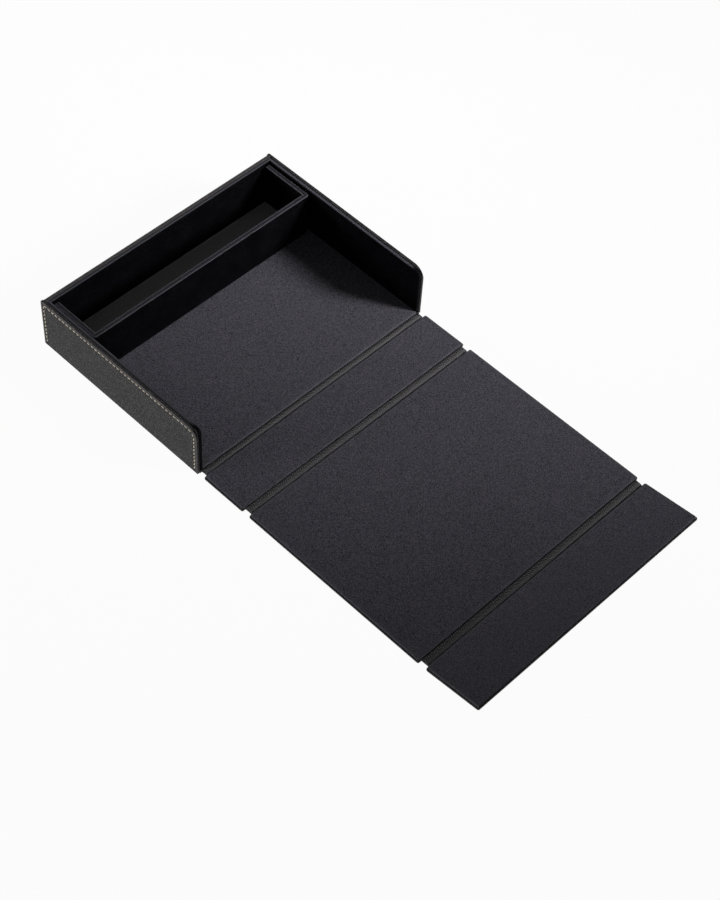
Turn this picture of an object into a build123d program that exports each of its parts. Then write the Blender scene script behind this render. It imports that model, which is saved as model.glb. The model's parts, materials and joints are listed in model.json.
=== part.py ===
from build123d import *
import math
import os

# A leather-wrapped box with three fixed walls. The fourth side is a lid of three hinged
# panels that folds out flat in front of the box, and a loose tray stands at the back.
# While building, y = 0 is the front edge of the box floor and the back wall is at +Y.

os.makedirs("parts", exist_ok=True)

# Sizes in millimetres.
BOX_WIDTH = 205.0
WALL_HEIGHT = 42.3
SIDE_FRONT = 0.5
SIDE_BACK = 152.3
BACK_WALL_OUTSIDE = 151.0
FRONT_CORNER_RADIUS = 9.0
BACK_CORNER_RADIUS = 1.6

# Each wall is a leather-wrapped outer ply with a suede-covered liner glued inside it.
# The side walls have a thin ply and a thick liner, whose front corner is the sharper one.
SIDE_PLY = 1.9
SIDE_LINER = 2.6
BACK_PLY = 2.6
BACK_LINER = 1.9
LEATHER_FACE = 0.9
LEATHER_EDGE = 0.7
SUEDE = 0.5
LINER_DROP = 0.4
LINER_CORNER_RADIUS = 5.0
RIM_RADIUS = 0.5
GROOVE = 0.35

# The base is a leather-wrapped ply with a felt-covered pad on it.
BASE_PLY = 2.1
BASE_PAD = 1.8
THIN_LEATHER = 0.6
FELT = 0.6
PAD_GAP = 0.1

# Each lid panel is a leather-wrapped ply with a slightly smaller felt-covered pad on it.
PANEL_WIDTH = 204.0
PANEL_PLY = 1.6
PANEL_PAD = 1.4
PAD_STEP = 0.3
PANEL_CORNER_RADIUS = 1.2
FRONT_HINGE_GAP = 5.0
FRONT_PANEL_DEPTH = 35.8
MIDDLE_HINGE_GAP = 6.0
LID_PANEL_DEPTH = 148.6
REAR_HINGE_GAP = 6.2
FLAP_DEPTH = 43.0
FLAP_TILT = 6.5

# A hinge is the leather in the gap with a lining strip on it, shorter than the panels.
HINGE_INSET = 3.0
HINGE_LIFT = 0.2
HINGE_LEATHER = 0.8
HINGE_LINING = 0.5

# Each panel turns about one line near its leather hinge, so that it closes square.
FRONT_PIVOT = (-1.9, 1.4)
MIDDLE_PIVOT_OFFSET = (3.7, 1.6)
REAR_PIVOT_OFFSET = (5.3, 1.1)

# Disc magnets in the closing flap meet a pair in the back wall.
MAGNET_RADIUS = 5.0
MAGNET_PLAY = 0.05
MAGNET_X = 60.0
MAGNET_FROM_FLAP_EDGE = 30.0
BACK_MAGNET_HEIGHT = 13.6
BACK_MAGNET_THICKNESS = 1.5

# Thread of the side walls' seams, lying in a shallow channel.
SEAM_INSET = 2.2
SEAM_CHANNEL_WIDTH = 0.9
SEAM_CHANNEL_DEPTH = 0.4
THREAD_RADIUS = 0.26
THREAD_PLAY = 0.02
THREAD_SIDES = 8
STITCH_PITCH = 3.6
STITCH_LENGTH = 2.7
SEAM_FOOT = 2.6

# The loose tray is open at its back, where the box's back wall closes it.
TRAY_SIDE_GAP = 1.4
TRAY_FRONT = 104.9
TRAY_BACK = 145.3
TRAY_TOP = 39.6
TRAY_WALL = 3.6
TRAY_SUEDE = 0.5
TRAY_TOP_SUEDE = 0.4
TRAY_GROOVE = 0.4
TRAY_CORNER_RADIUS = 2.6
TRAY_FLOOR_BOARD = 1.5
TRAY_FLOOR_LINING = 0.4

parts = {}


def block(x, y, z):
    """A box between the (low, high) pairs x, y and z."""
    size = [pair[1] - pair[0] for pair in (x, y, z)]
    middle = [(pair[0] + pair[1]) / 2 for pair in (x, y, z)]
    return Pos(*middle) * Box(*size)


def plate(x, y, z, corner):
    """A flat block with its upright corners rounded."""
    solid = block(x, y, z)
    return fillet(solid.edges().filter_by(Axis.Z), corner)


def shrunk(pair, low, high):
    """A (low, high) pair drawn in at both ends."""
    return (pair[0] + low, pair[1] - high)


def wall_shape(x, y, z, front_radius, back_radius):
    """An upright plate facing X, with its top front and top back corners rounded."""
    solid = block(x, y, z)
    top = solid.edges().filter_by(Axis.X).group_by(Axis.Z)[-1].sort_by(Axis.Y)
    solid = fillet(top[0], front_radius)
    if back_radius > 0:
        top = solid.edges().filter_by(Axis.X).group_by(Axis.Z)[-1].sort_by(Axis.Y)
        solid = fillet(top[-1], back_radius)
    return solid


def rim_edges(solid, axis, which):
    """The edges round a plate's end face, without the one that stands on the base."""
    face = solid.faces().sort_by(axis)[which]
    bottom = solid.bounding_box().min.Z
    return [e for e in face.edges() if e.bounding_box().max.Z > bottom + GROOVE]


def mirrored(solid):
    """The same piece on the other side of the box."""
    return mirror(solid, about=Plane.YZ)


def side_wall():
    """The left wall's leather, outer board, suede and liner board."""
    outside = -BOX_WIDTH / 2
    y = (SIDE_FRONT, SIDE_BACK)
    z = (0, WALL_HEIGHT)
    ply = (outside, outside + SIDE_PLY)
    shell = wall_shape(ply, y, z, FRONT_CORNER_RADIUS, BACK_CORNER_RADIUS)
    shell = fillet(rim_edges(shell, Axis.X, 0), RIM_RADIUS)
    shell = chamfer(rim_edges(shell, Axis.X, -1), GROOVE)
    board = wall_shape(
        (outside + LEATHER_FACE, ply[1]),
        shrunk(y, LEATHER_EDGE, LEATHER_EDGE),
        shrunk(z, LEATHER_EDGE, LEATHER_EDGE),
        FRONT_CORNER_RADIUS - LEATHER_EDGE,
        BACK_CORNER_RADIUS - LEATHER_EDGE,
    )
    leather = shell - board - seam_channel(outside, y)

    lining = (ply[1], ply[1] + SIDE_LINER)
    liner_y = (SIDE_FRONT + LINER_DROP, BACK_WALL_OUTSIDE - BACK_PLY)
    liner_z = (BASE_PLY, WALL_HEIGHT - LINER_DROP)
    liner = wall_shape(lining, liner_y, liner_z, LINER_CORNER_RADIUS, 0)
    card = wall_shape(
        (lining[0], lining[1] - SUEDE),
        shrunk(liner_y, SUEDE, 0),
        shrunk(liner_z, 0, SUEDE),
        LINER_CORNER_RADIUS - SUEDE,
        0,
    )
    front_and_top = [e for e in rim_edges(liner, Axis.X, 0) if e.center().Y < liner_y[1] - GROOVE]
    liner = chamfer(front_and_top, GROOVE)
    front_and_top = [e for e in rim_edges(liner, Axis.X, -1) if e.center().Y < liner_y[1] - GROOVE]
    suede = fillet(front_and_top, GROOVE) - card
    return leather, board, suede, card


def seam_channel(outside, y):
    """The shallow channel round the back, top and front of a side wall."""
    depth = (outside - 1, outside + SEAM_CHANNEL_DEPTH)
    rings = []
    for offset in (-SEAM_CHANNEL_WIDTH / 2, SEAM_CHANNEL_WIDTH / 2):
        inset = SEAM_INSET + offset
        rings.append(
            wall_shape(
                depth,
                shrunk(y, inset, inset),
                (-WALL_HEIGHT, WALL_HEIGHT - inset),
                FRONT_CORNER_RADIUS - inset,
                0,
            )
        )
    return rings[0] - rings[1]


def seam_points():
    """(y, z, direction in degrees) of each stitch: up the back edge, then along the top, round the corner and down."""
    radius = FRONT_CORNER_RADIUS - SEAM_INSET
    back = SIDE_BACK - SEAM_INSET
    front = SIDE_FRONT + SEAM_INSET
    top = WALL_HEIGHT - SEAM_INSET
    rise = top - SEAM_FOOT
    run = back - front - radius
    bend = radius * math.pi / 2
    points = [(back, SEAM_FOOT + distance, 90) for distance in stitch_places(rise)]
    for distance in stitch_places(run + bend + rise - radius):
        if distance < run:
            points.append((back - distance, top, 180))
        elif distance < run + bend:
            turn = (distance - run) / radius
            y = front + radius - radius * math.sin(turn)
            z = top - radius + radius * math.cos(turn)
            points.append((y, z, 180 + math.degrees(turn)))
        else:
            points.append((front, top - radius - (distance - run - bend), 270))
    return points


def stitch_places(length):
    """The middles of the stitches that fit on one run of a seam."""
    count = int(length / STITCH_PITCH)
    start = (length - count * STITCH_PITCH) / 2
    return [start + (i + 0.5) * STITCH_PITCH for i in range(count)]


def seam():
    """The left wall's stitches, each a short length of thread in the channel."""
    x = -BOX_WIDTH / 2 + SEAM_CHANNEL_DEPTH - THREAD_PLAY - THREAD_RADIUS
    section = RegularPolygon(THREAD_RADIUS, THREAD_SIDES)
    stitch = extrude(section, STITCH_LENGTH / 2, both=True)
    places = [Pos(x, y, z) * Rotation(way - 90, 0, 0) for y, z, way in seam_points()]
    return Compound([place * stitch for place in places])


def disc(radius, low, high, x, y):
    """An upright disc between two heights."""
    return Pos(x, y, (low + high) / 2) * Cylinder(radius, high - low)


def back_wall():
    """The back wall's leather, outer board, magnets, suede and liner board."""
    half = BOX_WIDTH / 2 - SIDE_PLY
    x = (-half, half)
    y = (BACK_WALL_OUTSIDE - BACK_PLY, BACK_WALL_OUTSIDE)
    z = (0, WALL_HEIGHT)
    shell = block(x, y, z)
    top = shell.edges().filter_by(Axis.X).group_by(Axis.Z)[-1].sort_by(Axis.Y)
    shell = fillet(top[-1], RIM_RADIUS)
    top = shell.edges().filter_by(Axis.X).group_by(Axis.Z)[-1].sort_by(Axis.Y)
    shell = chamfer(top[0], GROOVE)
    board = block(x, shrunk(y, 0, LEATHER_FACE), shrunk(z, LEATHER_EDGE, LEATHER_EDGE))
    leather = shell - board

    magnets = []
    magnet_y = BACK_WALL_OUTSIDE - LEATHER_FACE - BACK_MAGNET_THICKNESS / 2
    board_y = (y[0] + BACK_WALL_OUTSIDE - LEATHER_FACE) / 2
    for side in (-1, 1):
        place = Pos(side * MAGNET_X, magnet_y, BACK_MAGNET_HEIGHT) * Rotation(90, 0, 0)
        magnets.append(place * Cylinder(MAGNET_RADIUS, BACK_MAGNET_THICKNESS))
        hole = Cylinder(MAGNET_RADIUS + MAGNET_PLAY, BACK_PLY - LEATHER_FACE)
        board -= Pos(side * MAGNET_X, board_y, BACK_MAGNET_HEIGHT) * Rotation(90, 0, 0) * hole

    inside = half - SIDE_LINER
    liner_x = (-inside, inside)
    liner_y = (y[0] - BACK_LINER, y[0])
    liner_z = (BASE_PLY, WALL_HEIGHT - LINER_DROP)
    liner = block(liner_x, liner_y, liner_z)
    top = liner.edges().filter_by(Axis.X).group_by(Axis.Z)[-1]
    liner = chamfer(top, GROOVE)
    card = block(liner_x, shrunk(liner_y, SUEDE, 0), shrunk(liner_z, 0, SUEDE))
    return leather, board, Compound(magnets), liner - card, card


def base():
    """The base's leather, board, felt and card."""
    half = BOX_WIDTH / 2 - SIDE_PLY
    x = (-half, half)
    y = (0, BACK_WALL_OUTSIDE - BACK_PLY)
    shell = block(x, y, (0, BASE_PLY))
    board = block(x, shrunk(y, THIN_LEATHER, 0), (THIN_LEATHER, BASE_PLY))
    inside = half - SIDE_LINER - PAD_GAP
    pad_x = (-inside, inside)
    pad_y = (PAD_STEP, y[1] - BACK_LINER - PAD_GAP)
    pad_z = (BASE_PLY, BASE_PLY + BASE_PAD)
    pad = block(pad_x, pad_y, pad_z)
    front = pad.edges().filter_by(Axis.X).group_by(Axis.Z)[-1].sort_by(Axis.Y)[0]
    pad = fillet(front, GROOVE)
    card = block(pad_x, shrunk(pad_y, FELT, 0), shrunk(pad_z, 0, FELT))
    return shell - board, board, pad - card, card


def panel(near, far):
    """A lid panel lying flat: its leather, board, felt and card. near is its edge towards the box."""
    half = PANEL_WIDTH / 2
    x = (-half, half)
    y = (far, near)
    shell = plate(x, y, (0, PANEL_PLY), PANEL_CORNER_RADIUS)
    shell = fillet(shell.faces().sort_by(Axis.Z)[0].edges(), GROOVE)
    board = block(
        shrunk(x, THIN_LEATHER, THIN_LEATHER),
        shrunk(y, THIN_LEATHER, THIN_LEATHER),
        (THIN_LEATHER, PANEL_PLY),
    )
    pad_x = shrunk(x, PAD_STEP, PAD_STEP)
    pad_y = shrunk(y, PAD_STEP, PAD_STEP)
    pad_z = (PANEL_PLY, PANEL_PLY + PANEL_PAD)
    pad = plate(pad_x, pad_y, pad_z, PANEL_CORNER_RADIUS)
    pad = fillet(pad.faces().sort_by(Axis.Z)[-1].edges(), GROOVE)
    card = block(shrunk(pad_x, FELT, FELT), shrunk(pad_y, FELT, FELT), shrunk(pad_z, 0, FELT))
    return shell - board, board, pad - card, card


def hinge(near, far):
    """The leather in a hinge gap and the lining strip on it."""
    half = PANEL_WIDTH / 2 - HINGE_INSET
    low = HINGE_LIFT
    middle = low + HINGE_LEATHER
    leather = block((-half, half), (far, near), (low, middle))
    lining = block((-half, half), (far, near), (middle, middle + HINGE_LINING))
    return leather, lining


def tray():
    """The tray's three wall boards, outer and inner suede, floor board and floor lining."""
    bottom = BASE_PLY + BASE_PAD
    half = BOX_WIDTH / 2 - SIDE_PLY - SIDE_LINER - TRAY_SIDE_GAP
    x = (-half, half)
    y = (TRAY_FRONT, TRAY_BACK)
    z = (bottom, TRAY_TOP)
    whole = block(x, y, z)
    corners = whole.edges().filter_by(Axis.Z).group_by(Axis.Y)[0]
    whole = fillet(corners, TRAY_CORNER_RADIUS)
    hollow_x = shrunk(x, TRAY_WALL, TRAY_WALL)
    hollow_y = (TRAY_FRONT + TRAY_WALL, TRAY_BACK)
    walls = whole - block(hollow_x, (hollow_y[0], TRAY_BACK + 1), z)

    core_z = (bottom, TRAY_TOP - TRAY_TOP_SUEDE)
    core_x = shrunk(x, TRAY_SUEDE, TRAY_SUEDE)
    core_y = (TRAY_FRONT + TRAY_SUEDE, TRAY_BACK - TRAY_SUEDE)
    core = block(core_x, core_y, core_z)
    corners = core.edges().filter_by(Axis.Z).group_by(Axis.Y)[0]
    core = fillet(corners, TRAY_CORNER_RADIUS - TRAY_SUEDE)
    core_wall = TRAY_WALL - 2 * TRAY_SUEDE
    core_inside = (core_y[0] + core_wall, TRAY_BACK)
    front_board = core - block(core_x, core_inside, core_z)
    ends = core - front_board
    left_end = ends - block((core_x[0] + core_wall, x[1]), core_inside, core_z)
    right_end = ends - block((x[0], core_x[1] - core_wall), core_inside, core_z)

    # The two wraps meet in a groove along the middle of the wall tops.
    covers = walls - front_board - left_end - right_end
    middle = TRAY_WALL / 2
    near = middle - TRAY_GROOVE / 2
    far = middle + TRAY_GROOVE / 2
    past = TRAY_BACK + 1
    inner_zone = block(shrunk(x, far, far), (TRAY_FRONT + far, past), z)
    outer_zone = block(shrunk(x, near, near), (TRAY_FRONT + near, past), z)
    outer_cover = covers - outer_zone
    inner_cover = covers & inner_zone
    top = (TRAY_TOP - GROOVE, TRAY_TOP + GROOVE)
    outer_rim = [
        e
        for e in outer_cover.edges()
        if e.bounding_box().min.Z > top[0] and outside_of(e, x, TRAY_FRONT)
    ]
    outer_cover = fillet(outer_rim, GROOVE)

    floor_z = (bottom, bottom + TRAY_FLOOR_BOARD)
    lining_z = (floor_z[1], floor_z[1] + TRAY_FLOOR_LINING)
    floor_board = block(hollow_x, hollow_y, floor_z)
    floor_lining = block(hollow_x, hollow_y, lining_z)
    return front_board, left_end, right_end, outer_cover, inner_cover, floor_board, floor_lining


def outside_of(edge, x, front):
    """Whether a top edge lies on the tray's outer face."""
    middle = edge.center()
    on_side = min(abs(middle.X - x[0]), abs(middle.X - x[1])) < TRAY_CORNER_RADIUS / 2
    return middle.Y < front + TRAY_CORNER_RADIUS / 2 or on_side and middle.Y < TRAY_BACK - GROOVE


# The box.
names = ("base_leather", "base_board", "floor_felt", "floor_card")
parts.update(zip(names, base()))
left = side_wall() + (seam(),)
names = ("wall_leather", "wall_board", "liner_suede", "liner_card", "stitching")
for name, piece in zip(names, left):
    parts["left_" + name] = piece
    parts["right_" + name] = mirrored(piece)
names = ("wall_leather", "wall_board", "magnets", "liner_suede", "liner_card")
parts.update(zip(["back_" + name for name in names], back_wall()))

# The lid, folded out flat.
front_near = -FRONT_HINGE_GAP
front_far = front_near - FRONT_PANEL_DEPTH
lid_near = front_far - MIDDLE_HINGE_GAP
lid_far = lid_near - LID_PANEL_DEPTH
flap_near = lid_far - REAR_HINGE_GAP
flap_far = flap_near - FLAP_DEPTH
names = ("leather", "board", "felt", "card")
parts.update(zip(["front_panel_" + name for name in names], panel(front_near, front_far)))
parts.update(zip(["lid_panel_" + name for name in names], panel(lid_near, lid_far)))

# The closing flap rests tilted up a little, as the photograph shows.
middle_pivot = (front_far - MIDDLE_PIVOT_OFFSET[0], MIDDLE_PIVOT_OFFSET[1])
rear_pivot = (lid_far - REAR_PIVOT_OFFSET[0], REAR_PIVOT_OFFSET[1])
fold = Axis((0, rear_pivot[0], rear_pivot[1]), (-1, 0, 0))
flap = list(panel(flap_near, flap_far))
flap_magnets = []
for side in (-1, 1):
    at = (side * MAGNET_X, flap_near - MAGNET_FROM_FLAP_EDGE)
    flap[1] -= disc(MAGNET_RADIUS + MAGNET_PLAY, THIN_LEATHER, PANEL_PLY, *at)
    flap_magnets.append(disc(MAGNET_RADIUS, THIN_LEATHER, PANEL_PLY, *at))
flap.append(Compound(flap_magnets))
for name, piece in zip(names + ("magnets",), flap):
    parts["closing_flap_" + name] = piece.rotate(fold, FLAP_TILT)

# The hinges. The rear one stops where the tilted flap's edge begins.
gaps = {
    "front": (0, front_near),
    "middle": (front_far, lid_near),
    "rear": (lid_far, flap_near + PAD_GAP),
}
for name, (near, far) in gaps.items():
    leather, lining = hinge(near, far)
    parts[name + "_hinge_leather"] = leather
    parts[name + "_hinge_lining"] = lining

# The loose tray.
names = (
    "front_board",
    "left_end_board",
    "right_end_board",
    "outer_suede",
    "inner_suede",
    "floor_board",
    "floor_lining",
)
parts.update(zip(["tray_" + name for name in names], tray()))

# The origin is the middle of the whole spread-out box, on the ground.
boxes = [piece.bounding_box() for piece in parts.values()]
middle_y = round((min(b.min.Y for b in boxes) + max(b.max.Y for b in boxes)) / 2, 2)
for name, piece in parts.items():
    export_step(Pos(0, -middle_y, 0) * piece, f"parts/{name}.step")

print("nodes", len(parts), "shift", round(-middle_y, 4))
pivots = {"front": FRONT_PIVOT, "middle": middle_pivot, "rear": rear_pivot}
for name, (y, z) in pivots.items():
    print(name, "pivot y, z", round(y - middle_y, 4), z)
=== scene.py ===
"""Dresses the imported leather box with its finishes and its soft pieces, in metres, +Z up."""

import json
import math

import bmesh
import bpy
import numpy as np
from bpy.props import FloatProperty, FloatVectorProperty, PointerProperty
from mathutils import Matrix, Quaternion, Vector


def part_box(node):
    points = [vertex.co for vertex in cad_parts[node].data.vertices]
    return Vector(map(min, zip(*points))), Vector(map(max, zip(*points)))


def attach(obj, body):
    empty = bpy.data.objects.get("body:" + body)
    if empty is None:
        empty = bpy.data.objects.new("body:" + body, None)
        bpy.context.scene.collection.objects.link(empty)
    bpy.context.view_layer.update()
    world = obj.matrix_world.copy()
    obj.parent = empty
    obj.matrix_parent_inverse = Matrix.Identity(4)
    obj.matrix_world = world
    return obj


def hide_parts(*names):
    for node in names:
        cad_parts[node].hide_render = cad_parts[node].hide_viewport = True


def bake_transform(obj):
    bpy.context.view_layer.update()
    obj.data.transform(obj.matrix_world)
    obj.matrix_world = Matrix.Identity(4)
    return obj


bl_info = {
    "name": "Folding leather box",
    "version": (1, 0, 0),
    "blender": (4, 5, 0),
    "location": "3D View > Sidebar > Folding box",
    "description": "Leather, felt, suede, thread and stage of a box with a folding mat lid",
    "category": "Object",
}

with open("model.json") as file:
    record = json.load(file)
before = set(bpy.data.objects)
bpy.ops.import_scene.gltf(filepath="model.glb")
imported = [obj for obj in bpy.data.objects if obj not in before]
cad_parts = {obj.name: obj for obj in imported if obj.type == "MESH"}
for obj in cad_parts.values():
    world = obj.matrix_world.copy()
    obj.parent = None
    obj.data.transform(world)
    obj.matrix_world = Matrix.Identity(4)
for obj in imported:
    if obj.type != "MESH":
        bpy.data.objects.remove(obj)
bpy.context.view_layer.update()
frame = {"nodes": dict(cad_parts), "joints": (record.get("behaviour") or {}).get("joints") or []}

MM = 0.001

# Construction sizes that no user would change.
SIDE_PLY = 1.9 * MM
SIDE_LINER = 2.6 * MM
LEATHER_THICKNESS = 0.9 * MM
THIN_LEATHER = 0.6 * MM
SUEDE_THICKNESS = 0.5 * MM
FELT_THICKNESS = 0.6 * MM
FRONT_CORNER_RADIUS = 9.0 * MM
LINER_CORNER_RADIUS = 3.6 * MM
BACK_CORNER_RADIUS = 1.6 * MM
PANEL_CORNER_RADIUS = 1.2 * MM
SHARP = 0.05 * MM
GLUE_LINE = 0.02 * MM
PANEL_LEDGE = 0.75 * MM
# Insets deeper than this leave the edge of a plate behind.
PAST_EDGE = 2.5 * MM
SMOOTH_ANGLE = math.radians(38)
# How strongly a rolled edge is painted lighter, from its face to its outermost curve: of a leather ply, a
# suede liner and felt; scuffing and painted highlight on leather and suede, painted sheen on felt.
PLY_WEAR_AND_HIGHLIGHT = (0.6, 1.0, 0.8, 0.15, 0.0)
EDGE_WEAR_AND_HIGHLIGHT = (0.2, 0.8, 1.0, 1.0, 0.8)
FELT_PAINTED_SHEEN = (0.25, 0.3, 0.25, 0.05, 0.0)


def linear(code):
    """The linear colour of an sRGB hex code, with full alpha."""
    channels = [int(code[i : i + 2], 16) / 255 for i in (1, 3, 5)]
    return tuple(c / 12.92 if c <= 0.04045 else ((c + 0.055) / 1.055) ** 2.4 for c in channels) + (1.0,)


def number_property(name, description, default, **kind):
    """A number that the sidebar shows."""
    return FloatProperty(name=name, description=description, default=default, **kind)


def length_property(name, description, millimetres):
    """A length that the sidebar shows, with its default given in millimetres."""
    return number_property(name, description, millimetres * MM, min=0, unit="LENGTH", precision=5)


def colour_property(name, description, code):
    """A colour that the sidebar shows, with its default given as an sRGB hex code."""
    return FloatVectorProperty(
        name=name, description=description, default=linear(code), size=4, min=0, max=1, subtype="COLOR"
    )


class LeatherSettings(bpy.types.PropertyGroup):
    """Outer leather of the walls, base, panels and hinges"""

    crown: colour_property("Crown", "Colour on top of the pebbles", "#3a3536")
    # The colour between the pebbles is painted shade.
    painted_crease_shade: colour_property("Crease", "Colour between the pebbles", "#050404")
    # Rolled edges take this colour: scuffing and painted highlight.
    wear_and_painted_light: colour_property("Worn edge", "Colour where an edge is rubbed", "#625e5f")
    grain: length_property("Grain", "Width of one pebble of the grain", 1.5)
    relief: length_property("Relief", "Depth of the creases of the grain", 0.36)
    edge_roll: length_property("Edge roll", "Radius at which leather turns over a board edge", 0.42)


class SeamSettings(bpy.types.PropertyGroup):
    """Saddle-stitched seam of each side wall"""

    inset: length_property("Inset", "Distance of the seam from the wall's edge", 2.9)
    channel: length_property("Channel", "Width of the channel that the thread lies in", 1.05)
    depth: length_property("Depth", "Depth of that channel", 0.4)
    thread: length_property("Thread", "Thickness of the thread", 0.56)
    width: length_property("Width", "Width of the thread where it is pulled flat", 1.02)
    pitch: length_property("Pitch", "Distance from one stitch to the next", 3.6)
    stitch: length_property("Stitch", "Length of thread that shows in one stitch", 2.65)
    foot: length_property("Foot", "Height at which the seam starts", 2.6)
    slant: number_property("Slant", "Slant of each stitch", math.radians(11), subtype="ANGLE")
    colour: colour_property("Thread colour", "Colour of the waxed thread", "#e8decb")


class FeltSettings(bpy.types.PropertyGroup):
    """Felt of the box floor and the lid panels"""

    dark: colour_property("Dark fibre", "Colour of the darker fibres", "#1a191e")
    light: colour_property("Light fibre", "Colour of the lighter fibres", "#6a6a73")
    fibre: length_property("Fibre", "Width of one tuft of fibres", 0.45)
    edge_roll: length_property("Edge roll", "Radius at which felt turns over a card edge", 0.45)


class SuedeSettings(bpy.types.PropertyGroup):
    """Suede of the wall liners and the loose tray"""

    nap: colour_property("Nap", "Colour of the standing nap", "#040405")
    brushed: colour_property("Brushed nap", "Colour where the nap lies flat", "#121217")
    # Pressed edges take this colour: flattened nap and painted highlight.
    wear_and_painted_light: colour_property("Worn edge", "Colour where an edge presses the nap flat", "#54545b")
    tuft: length_property("Tuft", "Width of one tuft of nap", 0.8)
    edge_roll: length_property("Edge roll", "Radius at which suede turns over a card edge", 0.35)


class HingeSettings(bpy.types.PropertyGroup):
    """Leather hinge strips"""

    # The rib colour is also painted on the rib crests and on the side away from the box: painted highlight.
    light: colour_property("Rib", "Colour on the ribs of the lining", "#6e6c6e")
    dark: colour_property("Between ribs", "Colour between the ribs", "#121212")
    rib: length_property("Rib pitch", "Distance from one cross rib to the next", 1.7)
    relief: length_property("Rib height", "Height of the ribs", 0.4)
    arch: length_property("Arch", "How far the lining bows up between its edges", 1.1)


class TraySettings(bpy.types.PropertyGroup):
    """Loose tray at the back of the box"""

    wall: length_property("Wall", "Thickness of the tray's walls", 3.6)
    corner: length_property("Corner", "Radius of the outer front corners", 2.6)
    groove: length_property("Groove", "Gap between the outer and the inner wrap", 0.4)
    floor: colour_property("Floor", "Colour of the smooth floor lining", "#989798")


class StageSettings(bpy.types.PropertyGroup):
    """Camera, lamps and floor"""

    place: FloatVectorProperty(
        name="Camera", description="Where the camera is", default=(-0.6252, -0.5606, 1.0491), unit="LENGTH"
    )
    aim: FloatVectorProperty(
        name="Aim", description="Floor point that it looks at", default=(-0.0124, -0.0101, 0), unit="LENGTH"
    )
    roll: number_property("Roll", "Turn of the camera about its view", math.radians(4.02), subtype="ANGLE")
    lens: number_property("Lens", "Focal length in millimetres", 82.41, min=1)
    key: number_property("Key", "Power of the key lamp in watts", 1.08, min=0)
    fill: number_property("Fill", "Power of the low fill lamp in watts", 8.0, min=0)
    ambient: number_property("Ambient", "Strength of the light from all round", 0.09, min=0)


class BoxSettings(bpy.types.PropertyGroup):
    """All settings of the folding box"""

    leather: PointerProperty(type=LeatherSettings)
    seam: PointerProperty(type=SeamSettings)
    felt: PointerProperty(type=FeltSettings)
    suede: PointerProperty(type=SuedeSettings)
    hinge: PointerProperty(type=HingeSettings)
    tray: PointerProperty(type=TraySettings)
    stage: PointerProperty(type=StageSettings)


# Materials.

MIX_FACTOR, MIX_A, MIX_B, MIX_RESULT = 0, 6, 7, 2


def add_node(tree, kind, inputs=None, **settings):
    """Adds a node with its own settings. Each input is given a value, or a socket to link from."""
    made = tree.nodes.new(kind)
    for name, value in settings.items():
        setattr(made, name, value)
    for key, value in (inputs or {}).items():
        if isinstance(value, bpy.types.NodeSocket):
            tree.links.new(value, made.inputs[key])
        else:
            made.inputs[key].default_value = value
    return made


def bare_tree(owner):
    """The emptied node tree of a new material or world."""
    owner.use_nodes = True
    owner.node_tree.nodes.clear()
    return owner.node_tree


def surface(tree, sockets):
    """The material's surface shader, whose plain sockets are set here."""
    shader = add_node(tree, "ShaderNodeBsdfPrincipled", sockets)
    add_node(tree, "ShaderNodeOutputMaterial", {"Surface": shader.outputs[0]})
    return shader


def finish(slot, box):
    """The material of that slot, made on first use and named for its maker."""
    maker = FINISHES[slot]
    material = bpy.data.materials.get(maker.__name__)
    if not material:
        material = bpy.data.materials.new(maker.__name__)
        maker(bare_tree(material), box)
    return material


def paint_wear_and_light(tree, colour, wear_and_painted_light):
    """The colour, turned to a second colour where the mesh's mask says so: scuffed edges with painted
    highlight, and painted shade on thread at its holes.
    """
    rim = add_node(tree, "ShaderNodeAttribute", attribute_name="rim")
    mixed = add_node(
        tree, "ShaderNodeMix", {MIX_FACTOR: rim.outputs["Fac"], MIX_A: colour, MIX_B: wear_and_painted_light}, data_type="RGBA"
    )
    return mixed.outputs[MIX_RESULT]


def speckled(tree, size, detail, spread, colours):
    """Two colours mixed by a noise of that size, and the noise. spread is its part from one to the other."""
    place = add_node(tree, "ShaderNodeTexCoord").outputs["Object"]
    noise = add_node(tree, "ShaderNodeTexNoise", {"Vector": place, "Scale": 1 / size, "Detail": detail})
    share = add_node(
        tree, "ShaderNodeMapRange", {"Value": noise.outputs[0], "From Min": spread[0], "From Max": spread[1]}
    )
    mixed = add_node(
        tree,
        "ShaderNodeMix",
        {MIX_FACTOR: share.outputs[0], MIX_A: colours[0], MIX_B: colours[1]},
        data_type="RGBA",
    )
    return mixed.outputs[MIX_RESULT], noise


def coat(tree, shader, colour, height, relief):
    """Gives the shader its colour, and a bump of that relief from the height."""
    bump = add_node(tree, "ShaderNodeBump", {"Distance": relief, "Height": height})
    tree.links.new(colour, shader.inputs["Base Color"])
    tree.links.new(bump.outputs[0], shader.inputs["Normal"])


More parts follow.
